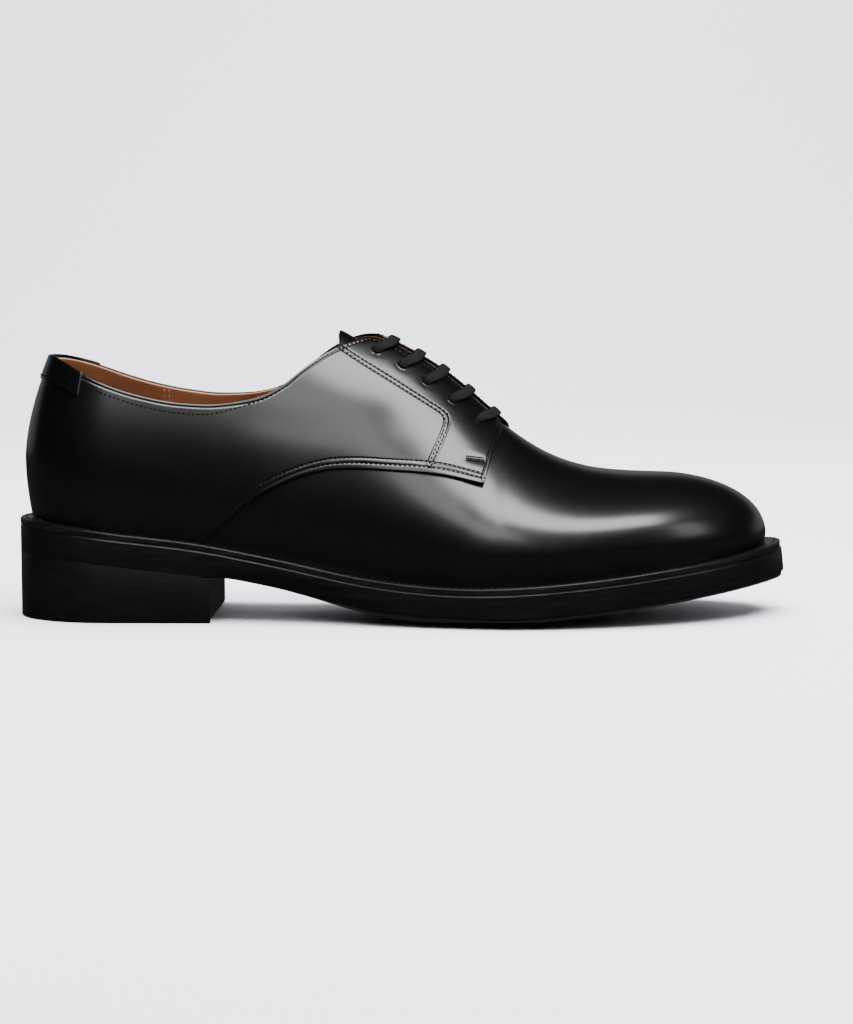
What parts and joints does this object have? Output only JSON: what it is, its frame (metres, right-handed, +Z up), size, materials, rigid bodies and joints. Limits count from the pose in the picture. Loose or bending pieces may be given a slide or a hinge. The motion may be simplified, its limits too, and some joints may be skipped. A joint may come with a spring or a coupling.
{
  "type": "derby shoe",
  "caption": "Right derby shoe in polished black leather, plain toe, open lacing in straight bars, welted sole and stacked heel.",
  "frame": {"origin": "middle of the heel's flat bottom, on the floor", "axes": "+X to the toe, +Y to the inner side of a right foot, +Z up"},
  "size_m": [0.3076, 0.1026, 0.1136],
  "materials": {
    "sole": "black edge paint, satin",
    "heel": "stacked, black edge paint, satin",
    "welt": "black, waxed",
    "upper_leather": "smooth black calf, polished",
    "lining": "tan, matt",
    "lace": "black waxed cotton, woven flat"
  },
  "bodies": {
    "root": {"outsole": "sole", "heel": "heel", "welt": "welt", "insole": "lining", "upper": "upper_leather", "tongue": "upper_leather", "lace": "lace"}
  },
  "joints": []
}
